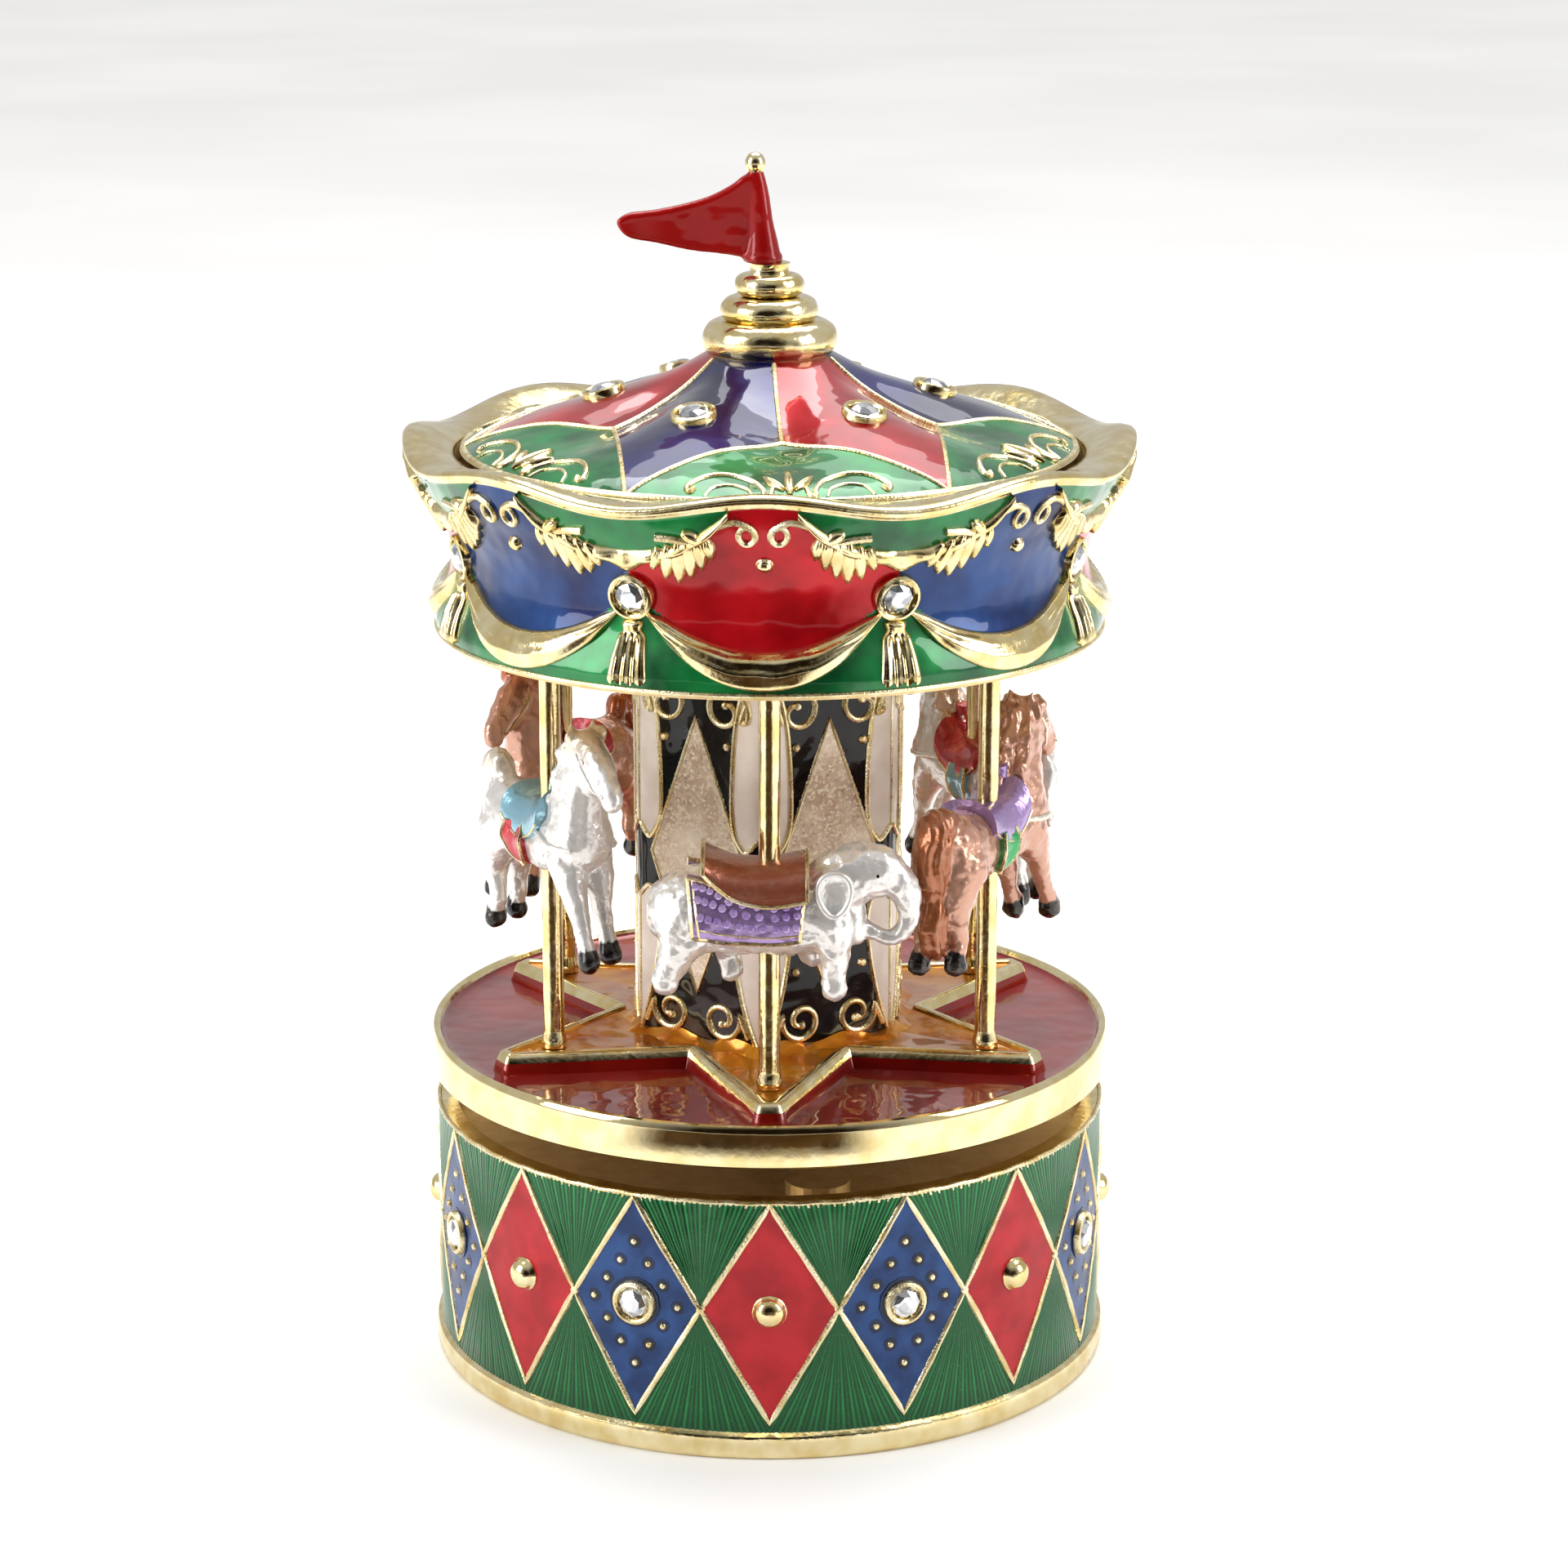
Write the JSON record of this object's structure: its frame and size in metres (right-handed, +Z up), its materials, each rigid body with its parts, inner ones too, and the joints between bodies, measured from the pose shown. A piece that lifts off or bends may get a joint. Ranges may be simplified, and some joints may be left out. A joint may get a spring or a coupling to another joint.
{
  "type": "carousel music box",
  "caption": "Key-wound carousel music box: enamelled drum, turning platform with ride animals on poles, scalloped canopy and pennant.",
  "frame": {"origin": "centre of the circle that the foot ring stands on", "axes": "+Z up along the turning axis, front towards -Y with the first ride pole, +X to the viewer's right"},
  "size_m": [0.0734, 0.0734, 0.1234],
  "materials": {
    "gold_plate": "polished gold plate over cast metal",
    "satin_gold": "satin gold plate",
    "enamel_green": "translucent green enamel over engraved rays, with gold wires and trim",
    "enamel_red": "glossy red enamel",
    "enamel_blue": "glossy royal blue enamel",
    "enamel_navy": "glossy navy enamel",
    "enamel_amber": "translucent amber enamel",
    "enamel_black": "glossy black enamel with gold scrolls",
    "enamel_glitter": "champagne glitter enamel",
    "enamel_cream": "glossy cream enamel",
    "pearl_white": "pearlescent white lacquer over cast metal",
    "pearl_brown": "pearlescent brown lacquer over cast metal",
    "pearl_tan": "pearlescent tan lacquer over cast metal",
    "pearl_purple": "pearlescent purple lacquer",
    "pearl_light_blue": "pearlescent light blue lacquer",
    "stone": "faceted clear stone, foil backed",
    "steel": "ground steel",
    "brass": "machined brass",
    "zinc": "cast movement metal"
  },
  "bodies": {
    "base": {"base_drum": "enamel_green", "bottom_cover": "satin_gold", "inner_cover": "satin_gold", "spindle_bush": "brass", "movement_bedplate": "zinc", "tuned_comb": "steel", "cylinder_bearing_left": "zinc", "cylinder_bearing_right": "zinc", "barrel_bridge": "zinc", "governor_frame": "zinc", "cover_screw_1": "steel", "cover_screw_2": "steel", "cover_screw_3": "steel", "cover_screw_4": "steel", "movement_screw_1": "steel", "movement_screw_2": "steel", "movement_screw_3": "steel", "comb_screw_1": "steel", "comb_screw_2": "steel"},
    "carousel": {"turntable_spindle": "steel", "turntable_gear": "brass", "turntable_platform": "gold_plate", "platform_star": "gold_plate", "ride_pole_1": "gold_plate", "ride_pole_2": "gold_plate", "ride_pole_3": "gold_plate", "ride_pole_4": "gold_plate", "ride_pole_5": "gold_plate", "ride_pole_6": "gold_plate", "centre_column": "enamel_black", "tie_rod": "steel", "elephant": "pearl_white", "horse_brown_right": "pearl_brown", "horse_white_rear": "pearl_white", "horse_tan_back": "pearl_tan", "horse_brown_left": "pearl_brown", "horse_white_left": "pearl_white", "canopy_ceiling": "satin_gold", "canopy_valance": "enamel_green", "canopy_roof": "enamel_navy", "finial": "gold_plate", "pennant_flag": "enamel_red", "flag_bead": "gold_plate"},
    "barrel": {"barrel_gear": "brass", "crown_wheel": "brass", "spring_barrel": "brass", "barrel_lid": "brass", "mainspring": "steel"},
    "winder": {"winding_arbor": "steel", "ratchet_wheel": "steel", "winding_key": "brass"},
    "click": {"winding_click": "steel"},
    "cylinder": {"pinned_cylinder": "brass", "cylinder_pinion": "brass", "cylinder_wheel": "brass"},
    "governor": {"governor_worm": "steel", "air_brake_fan": "brass"}
  },
  "joints": [
    {"name": "carousel_spin", "type": "hinge", "parent": "base", "child": "carousel", "pos_m": [0, 0, 0.03], "axis": [0, 0, 1], "continuous": true},
    {"name": "barrel_spin", "type": "hinge", "parent": "base", "child": "barrel", "pos_m": [0.01385, 0.00797, 0.0118], "axis": [0, 0, 1], "continuous": true},
    {"name": "cylinder_spin", "type": "hinge", "parent": "base", "child": "cylinder", "pos_m": [0.00305, -0.01436, 0.0176], "axis": [-0.4352, -0.9003, 0], "continuous": true},
    {"name": "governor_spin", "type": "hinge", "parent": "base", "child": "governor", "pos_m": [0.00471, -0.02633, 0.0176], "axis": [0, 0, 1], "continuous": true},
    {"name": "key_wind", "type": "hinge", "parent": "base", "child": "winder", "pos_m": [0.01385, 0.00797, 0.004], "axis": [0, 0, 1], "continuous": true},
    {"name": "click_lift", "type": "hinge", "parent": "base", "child": "click", "pos_m": [0.0175, 0.01553, 0.02095], "axis": [0, 0, 1], "range_deg": [0, 14]}
  ],
  "couplings": [
    {"joint": "barrel_spin", "follows": "carousel_spin", "ratio": -0.58621},
    {"joint": "cylinder_spin", "follows": "carousel_spin", "ratio": -1.1724},
    {"joint": "governor_spin", "follows": "carousel_spin", "ratio": -35.172}
  ]
}
